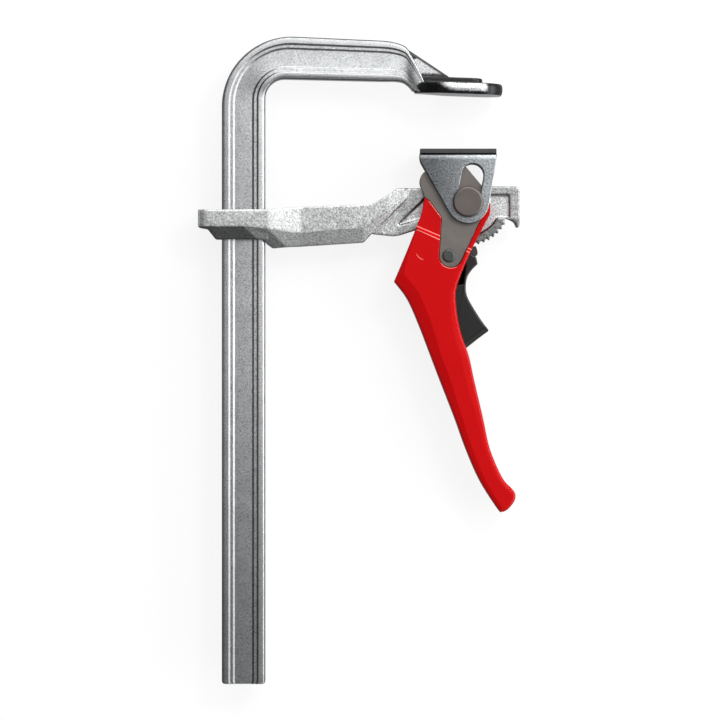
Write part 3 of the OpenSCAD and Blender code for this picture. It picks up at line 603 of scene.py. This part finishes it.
# Pivot pin and washer: a turned pin with a broad flat head, browned by its heat treatment, put
# through from the front and riveted over a plain washer behind the bracket.
def broken_edges(name, shape, finish, width_of, sharp):
    """A piece on the mesh in shape. Edges that turn by more than sharp degrees are rounded,
    width_of(middle) giving each one's width in millimetres, and the others are shaded smooth."""
    for face in shape.faces:
        face.smooth = True
    weight = shape.edges.layers.float.new("bevel_weight_edge")
    widths = []
    for edge in shape.edges:
        edge.smooth = edge.calc_face_angle(0.0) < math.radians(sharp)
        middle = (edge.verts[0].co + edge.verts[1].co) / (2 * MM)
        widths.append(0 if edge.smooth else width_of(middle))
    widest = max(widths)
    for edge, width in zip(shape.edges, widths):
        edge[weight] = width / widest if widest else 0
    mesh = bpy.data.meshes.new(name + "_finished")
    shape.to_mesh(mesh)
    shape.free()
    mesh.materials.clear()
    mesh.materials.append(finish)
    piece = bpy.data.objects.new(name + "_finished", mesh)
    bpy.context.scene.collection.objects.link(piece)
    if widest:
        soft_edge = piece.modifiers.new("broken_edge", "BEVEL")
        soft_edge.width = widest * MM
        soft_edge.segments = 3
        soft_edge.limit_method = "WEIGHT"
        soft_edge.use_clamp_overlap = False
        soft_edge.miter_outer = "MITER_ARC"
    even_normals(piece)
    return piece


def rounded_copy(name, finish, edge_mm, body, sharp=28):
    """A copy of a CAD solid with its doubled points merged, its flat faces made whole, and its
    edges rounded by that width, or by what edge_mm(middle of the edge) gives."""
    shape = bmesh.new()
    shape.from_mesh(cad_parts[name].data)
    bmesh.ops.remove_doubles(shape, verts=shape.verts, dist=SAME_POINT)
    bmesh.ops.dissolve_limit(shape, angle_limit=math.radians(0.6), verts=shape.verts,
                             edges=shape.edges)
    width_of = edge_mm if callable(edge_mm) else lambda middle: edge_mm
    piece = broken_edges(name, shape, finish, width_of, sharp)
    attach(piece, body)
    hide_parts(name)
    return piece


pin_steel = plated_steel("browned_pin_steel", "#67615f", "#4a4745", 0.42, 0.5, 0.004, 0.04)
rounded_copy("pivot_pin", pin_steel, 0.35, "arm")
washer_steel = plated_steel("zinc_washer", "#9fa1a3", "#6a6b6d", 0.35, 0.5, 0.004, 0.05)
rounded_copy("pivot_washer", washer_steel, 0.2, "arm")


# Cam cheeks: two plates fine-blanked from tool steel and hardened, with a warm matt brown-grey
# skin and slightly drawn-in edges. They carry the load from the lever to the bracket.
cheek_steel = plated_steel("hardened_cam_steel", "#736e6b", "#55514d", 0.48, 0.6, 0.012, 0.07)
rounded_copy("cam_cheek_front", cheek_steel, 0.35, "lever")
rounded_copy("cam_cheek_back", cheek_steel, 0.35, "lever")


# Lever: one moulding of glossy red nylon, forked at the head, with bevelled edges. The mould
# leaves a faint uneven gloss, and pale lines on the step between head and grip and on other
# edges are painted highlights.
STEP_ANGLE = math.radians(246.8)
STEP_WAY = np.array([math.cos(STEP_ANGLE), math.sin(STEP_ANGLE)])
CHEEK_FOOT = (-10.2, -32.3)


def moulded_plastic(name, colour, worn_colour, roughness, ior, marks, painted_light_colour):
    """Moulded nylon: an even colour with a faint drift, and a very low relief from the mould.
    Where marks(tree, place) is 1 it takes the last colour given, which paints a highlight on the
    lever and shade on the trigger."""
    material = bpy.data.materials.new(name)
    material.use_nodes = True
    tree = material.node_tree
    tree.nodes.clear()
    place = add(tree, "ShaderNodeTexCoord")
    drift_mm, pit_mm = 25.0, 0.625
    drift = add(tree, "ShaderNodeTexNoise", {
        "Vector": place.outputs["Object"], "Scale": 1000 / drift_mm, "Detail": 2.0})
    pits = add(tree, "ShaderNodeTexNoise", {
        "Vector": place.outputs["Object"], "Scale": 1000 / pit_mm, "Detail": 1.0})
    tint = add(tree, "ShaderNodeMix", {
        "Factor": drift.outputs["Fac"], 6: srgb(colour), 7: srgb(worn_colour)}, data_type="RGBA")
    relief = add(tree, "ShaderNodeBump", {
        "Height": pits.outputs["Fac"], "Strength": 0.5, "Distance": 0.01 * MM})
    marked = add(tree, "ShaderNodeMix", {
        "Factor": marks(tree, place), 6: tint.outputs[2], 7: srgb(painted_light_colour)},
        data_type="RGBA")
    body = add(tree, "ShaderNodeBsdfPrincipled", {
        "Base Color": marked.outputs[2], "Roughness": roughness, "IOR": ior,
        "Normal": relief.outputs[0]})
    add(tree, "ShaderNodeOutputMaterial", {"Surface": body.outputs[0]})
    return material


def lever_painted_highlights(tree, place):
    """Painted highlights, as pale lines: along both edges of the step below the head, along the
    cheek's recess at the upper left and below its foot, and round the lower left of a small
    ring that is only painted, not modelled."""
    from_pivot = add(tree, "ShaderNodeVectorMath", {
        0: place.outputs["Object"], 1: (*(PIVOT * MM), 0)}, operation="SUBTRACT").outputs[0]

    def band(direction, at, half):
        """1 where the way from the pivot in that direction is within half of at, in mm."""
        way = add(tree, "ShaderNodeVectorMath", {0: from_pivot, 1: direction},
                  operation="DOT_PRODUCT").outputs["Value"]
        return add(tree, "ShaderNodeMath", {0: way, 1: at * MM, 2: half * MM},
                   operation="COMPARE").outputs[0]

    def arch(centre, at, lean, span):
        """1 on a line round a centre, where the way from it in the direction lean passes span."""
        away = add(tree, "ShaderNodeVectorMath", {
            0: from_pivot, 1: (centre[0] * MM, centre[1] * MM, 0)},
            operation="SUBTRACT").outputs[0]
        away = add(tree, "ShaderNodeVectorMath", {0: away, 1: (1, 1, 0)},
                   operation="MULTIPLY").outputs[0]
        radius = add(tree, "ShaderNodeVectorMath", {0: away}, operation="LENGTH").outputs["Value"]
        line = add(tree, "ShaderNodeMath", {0: radius, 1: at * MM, 2: 0.22 * MM},
                   operation="COMPARE").outputs[0]
        way = add(tree, "ShaderNodeVectorMath", {0: away, 1: lean},
                  operation="DOT_PRODUCT").outputs["Value"]
        near = add(tree, "ShaderNodeMapRange", {
            "Value": way, "From Min": span * MM, "From Max": (span + 0.6) * MM,
            "To Max": 0.75}).outputs[0]
        return add(tree, "ShaderNodeMath", {0: line, 1: near}, operation="MULTIPLY").outputs[0]

    recess = add(tree, "ShaderNodeMath", {
        0: band((-0.802, -0.597, 0), 18.4, 0.25), 1: band((0.597, -0.802, 0), -8.0, 5.9)},
        operation="MULTIPLY").outputs[0]
    marks = recess
    for mark in [band((*STEP_WAY, 0), 25.3, 0.27), band((*STEP_WAY, 0), 27.45, 0.27),
                 arch(CHEEK_FOOT, 7.4, (-0.2, -0.98, 0), 5.4),
                 arch((-25.5, -29.2), 5.5, (-0.64, -0.77, 0), 4.6)]:
        marks = add(tree, "ShaderNodeMath", {0: marks, 1: mark}, operation="MAXIMUM").outputs[0]
    facing = add(tree, "ShaderNodeSeparateXYZ", {0: place.outputs["Normal"]})
    level = add(tree, "ShaderNodeMath", {0: facing.outputs["Z"]},
                operation="ABSOLUTE").outputs[0]
    level = add(tree, "ShaderNodeMapRange", {
        "Value": level, "From Min": 0.4, "From Max": 0.65, "To Max": 0.8}).outputs[0]
    return add(tree, "ShaderNodeMath", {0: marks, 1: level}, operation="MULTIPLY").outputs[0]


# The lever's pale lines in #ef8a80 are painted highlights.
red_nylon = moulded_plastic("glossy_red_nylon", "#b20509", "#a90407", 0.2, 1.25, lever_painted_highlights,
                            "#ef8a80")

# The outlines are about the pivot, and the flat side's lies inside the outer one. Between them
# the edge is rounded off first, and a gentle facet rises to the flat, broadest below the heel. It
# is gentler in front than behind, and changes over along the grip's lower end.
GRIP_HALF = 11.5
END_ROWS = (62, 85)
outer_keys = np.array([
    [-44.2, -47.6], [-36.2, -58.4], [-29.3, -74.0], [-22.4, -92.0], [-16.85, -106.6],
    [-8.1, -129.1], [-1.3, -147.9], [6.9, -166.6], [17.8, -183.8], [20.4, -185.5],
    [23.8, -184.1], [27.4, -179.9], [28.6, -176.5], [28.0, -173.7], [26.1, -171.2],
    [20.6, -164.8], [13.3, -147.9], [9.1, -129.1], [3.85, -106.6], [0.6, -92.0],
    [-4.3, -77.7], [-7.0, -62.0], [-6.4, -50.0], [1.8, -29.8], [8.0, -17.4], [13.5, -6.7]])
flat_keys = np.array([
    [-38.2, -43.2], [-29.4, -54.0], [-21.4, -73.2], [-15.6, -92.2], [-10.4, -106.2],
    [-3.6, -127.8], [2.5, -146.6], [10.1, -165.2], [19.4, -181.2], [20.9, -182.6],
    [22.8, -181.6], [25.3, -178.6], [25.9, -176.6], [25.5, -175.0], [24.0, -173.0],
    [18.0, -166.1], [10.4, -148.6], [5.5, -129.8], [-1.1, -107.4], [-4.4, -92.4],
    [-8.6, -78.3], [-10.4, -62.4], [-9.2, -49.2], [-0.4, -28.8], [6.3, -16.6], [12.2, -6.2]])
back_keys = [[-25.9, 2.8], [-27.6, -6.4], [-31.3, -16.5], [-37.9, -32.8], [-44.2, -47.6]]
back_flat_keys = [[-24.6, 2.9], [-26.3, -6.7], [-30.0, -17.0], [-35.4, -31.0], [-38.2, -43.2]]
outer = np.concatenate([through(back_keys, 5)[:-1], through(outer_keys, 5),
                        [[13.4, -1], [10.8, 1], [-10, 1]]])
inner = np.concatenate([through(back_flat_keys, 5)[:-1], through(flat_keys, 5),
                        [[12.4, -1.2], [10.5, 0.3], [-10, 0.3]]])
facet = np.linalg.norm(inner - outer, axis=1)
slope = np.interp(np.arange(len(facet)), END_ROWS, [0.24, 0.12])
edge = np.minimum(1.7, 0.7 * facet)
shoulder = GRIP_HALF - slope * (facet - edge)
turn = np.radians([0, 14, 30, 47, 64, 80])[:, None]
way_in = np.concatenate([edge * (1 - np.cos(turn)), [edge + 0.94 * (facet - edge)], [facet]])
height = np.concatenate([
    shoulder - 1.3 * edge * (1 - np.sin(turn)),
    [GRIP_HALF - 0.035 * slope * (facet - edge)],
    [np.full(len(facet), GRIP_HALF)]])
spots = (PIVOT + outer)[None] + (way_in / facet)[:, :, None] * (inner - outer)[None]
upper = np.dstack([spots, height])
blank = closed_surface("lever_blank", np.concatenate([upper[::-1] * [1, 1, -1], upper]), red_nylon)


def prism(outline, low, high):
    """A cutter on a counterclockwise outline about the pivot, from one height to the other."""
    outline = np.asarray(outline) + PIVOT
    return closed_surface("cutter", np.stack([np.column_stack([outline, np.full(len(outline), z)])
                                              for z in (low, high)]), red_nylon)


def arc(centre, radius, first, last, steps):
    """Points on a circle about centre, from the first angle to the last, in degrees."""
    angle = np.radians(np.linspace(first, last, steps + 1))
    return np.stack([centre[0] + radius * np.cos(angle),
                     centre[1] + radius * np.sin(angle)], axis=1)


# Room for the plate, its teeth and the trigger in the middle, a thinner head with a sloping step,
# and on each side a recess on the cam cheek's outline.
SLOT_HALF = 5.4
HEAD_HALF = 9.7
TEETH_ROOM, HUB_ROOM, TRIGGER_ROOM = 27.1, 8.0, 57.2
STEP_START, STEP_RISE = 25.5, 6.8
CUT_REACH = 60
RECESS_FIT = 0.15
RIVET = (-11.3, -32.2)
CAM_LOW, CAM_HIGH, CAM_SWING = 12.7, 25.6, math.radians(50)
cam_turn = np.linspace(CAM_SWING, 0, 11)
cam_fall = (CAM_HIGH - CAM_LOW) / CAM_SWING
cam_high = CAM_HIGH - cam_fall * cam_turn
cam = np.stack([cam_high * np.sin(cam_turn) - cam_fall * np.cos(cam_turn),
                cam_high * np.cos(cam_turn) + cam_fall * np.sin(cam_turn)], axis=1)
cheek = np.concatenate([
    arc(CHEEK_FOOT, 7, 180, 335.6, 16), arc((0, 0), CAM_LOW, 3.7, 40, 8), cam,
    arc((-21.6, 12.2), 7.2, 110, 215, 8), [[-25.9, 2.8], [-22.9, 0.6], [-15.6, -9.2]]])
cutters = [prism(outline, -SLOT_HALF, SLOT_HALF) for outline in [
    arc((0, 0), TEETH_ROOM, 0, 352.5, 47),
    arc(RIVET, HUB_ROOM, 0, 352.5, 47),
    [[-60, -26.6], [-31.5, -17.6], [-22, -14.6], [0, -14.6], [0, 20], [-60, 20]],
    RIVET + np.concatenate([[[50, 20], [-7.8, 5], [-7.8, 0]],
                            arc((0, 0), TRIGGER_ROOM, -99.5, -55, 12)])]]
step_side = np.array([-STEP_WAY[1], STEP_WAY[0]])
profile = np.array([[-CUT_REACH, HEAD_HALF], [STEP_START, HEAD_HALF],
                    [STEP_START + STEP_RISE, HEAD_HALF + STEP_RISE],
                    [-CUT_REACH, HEAD_HALF + STEP_RISE]])
for side in (1, -1):
    cutters.append(prism(shrunk(cheek, -RECESS_FIT),
                         *sorted((side * (SLOT_HALF - 0.1), side * 20))))
    ends = [np.column_stack([PIVOT + profile[:, :1] * STEP_WAY + end * step_side,
                             side * profile[:, 1]])
            for end in (side * CUT_REACH, -side * CUT_REACH)]
    cutters.append(closed_surface("cutter", np.stack(ends), red_nylon))
for cutter in cutters:
    cut = blank.modifiers.new("cut", "BOOLEAN")
    cut.operation = "DIFFERENCE"
    cut.solver = "EXACT"
    cut.object = cutter
shape = bmesh.new()
shape.from_object(blank, bpy.context.evaluated_depsgraph_get())
bmesh.ops.remove_doubles(shape, verts=shape.verts, dist=0.01 * MM)
bmesh.ops.triangulate(shape, faces=[face for face in shape.faces if len(face.verts) > 4])
for spare in [blank, *cutters]:
    bpy.data.objects.remove(spare)


def cut_edge(middle):
    """Every cut edge of the lever is broken alike, but not those at the grip's lower end or at the
    sharp corner of the fork."""
    at_fork = middle.x > 14 and middle.y > -72
    return 0.4 if middle.y > -150 and not at_fork else 0


lever = broken_edges("lever_grip", shape, red_nylon, cut_edge, 32)
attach(lever, "lever")
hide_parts("lever_grip")


# Cheek rivet: a steel rivet with low heads through the cheeks and the lever. The trigger turns
# on it.
# The rivet's near-black side colour is painted shade round the rims of its heads.
rivet_steel = plated_steel("blackened_rivet", "#525654", "#1c1d1d", 0.4, 0.5, 0.004, 0.04)
rounded_copy("cheek_rivet", rivet_steel, 0.3, "lever")


# Trigger, pawl and spring: the trigger is moulded in black glass-filled nylon round a steel pawl,
# and a wound wire spring beside its hub turns both back.
TRIGGER_DOWN = (0.616, -0.788, 0)


def trigger_painted_shade(tree, place):
    """Painted shade: the trigger is deep black on the bevels at its lower end."""
    way = add(tree, "ShaderNodeVectorMath", {0: place.outputs["Object"], 1: TRIGGER_DOWN},
              operation="DOT_PRODUCT").outputs["Value"]
    return add(tree, "ShaderNodeMapRange", {
        "Value": way, "From Min": 118.7 * MM, "From Max": 119.7 * MM, "To Max": 0.9}).outputs[0]


# The deep black on the trigger's lower bevels is painted shade.
black_nylon = moulded_plastic("satin_black_nylon", "#171717", "#131313", 0.3, 1.45,
                              trigger_painted_shade, "#020202")


def trigger_edge(middle):
    """Broad bevels along the trigger's lower end, and narrow ones elsewhere."""
    way = Vector(TRIGGER_DOWN).dot(middle)
    return 3.2 if way > 121.4 and abs(middle.z) > 3 else 0.9


rounded_copy("trigger", black_nylon, trigger_edge, "trigger")
pawl_steel = plated_steel("blackened_pawl", "#4a4a4b", "#2c2c2c", 0.42, 0.6, 0.006, 0.06)
rounded_copy("pawl", pawl_steel, 0.2, "trigger")
spring_wire = plated_steel("spring_wire", "#a5a6a8", "#77787a", 0.25, 0.5, 0.002, 0.03)
rounded_copy("trigger_spring", spring_wire, 0, "lever", 60)


# Pressure bracket and pad: the bracket is sheet steel bent over the cams and slotted for the
# pin, with a mottled bluish zinc coat. The hard dark pad is fixed on its upper face.
def sheet_painted_shade(tree, place):
    """Painted light and shade: darker towards the left edge and lighter towards the right, and
    painted shade on the sheared edges that face down the lever.
    """
    spot = add(tree, "ShaderNodeSeparateXYZ", {0: place.outputs["Object"]})
    spread = add(tree, "ShaderNodeMapRange", {
        "Value": spot.outputs["X"], "From Min": -15 * MM, "From Max": 19 * MM,
        "To Min": 0.5, "To Max": 1.4}).outputs[0]
    down = add(tree, "ShaderNodeVectorMath", {0: place.outputs["Normal"], 1: (-0.6, -0.8, 0)},
               operation="DOT_PRODUCT").outputs["Value"]
    edge_shade = add(tree, "ShaderNodeMapRange", {
        "Value": down, "From Min": 0.2, "From Max": 0.7, "To Min": 1.0, "To Max": 0.1}).outputs[0]
    return add(tree, "ShaderNodeMath", {0: spread, 1: edge_shade}, operation="MULTIPLY").outputs[0]


# The lighter side colour paints light on the bend and the upright edges.
zinc_sheet = plated_steel("mottled_zinc_sheet", "#8b8f92", "#b4b8bb", 0.34, 1.1, 0.03, 0.36,
                          sheet_painted_shade)
rounded_copy("pressure_bracket", zinc_sheet, 0.4, "bracket", 20)

# The pad ends where the sheet's bend begins, so the bend stays in sight below it.
PAD_DEPTH = 11.9
PAD_HALF = 22.85
PAD_LOW, PAD_TOP = -35.4, -32.5
pad_outline = rounded([[-PAD_HALF, PAD_LOW], [PAD_HALF, PAD_LOW],
                       [PAD_HALF, PAD_TOP], [-PAD_HALF, PAD_TOP]], [0.1, 0.1, 0.35, 0.35], 3)
pad_rings = slab(pad_outline, [-PAD_DEPTH, 0.3 - PAD_DEPTH, PAD_DEPTH - 0.3, PAD_DEPTH],
                 [0.3, 0, 0, 0.3])
pad_steel = plated_steel("dark_pad_steel", "#4b4c4e", "#6a6b6e", 0.42, 0.6, 0.01, 0.1)
pad = closed_surface("flat_pad", pad_rings, pad_steel)
even_normals(pad)
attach(pad, "bracket")
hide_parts("pressure_pad")
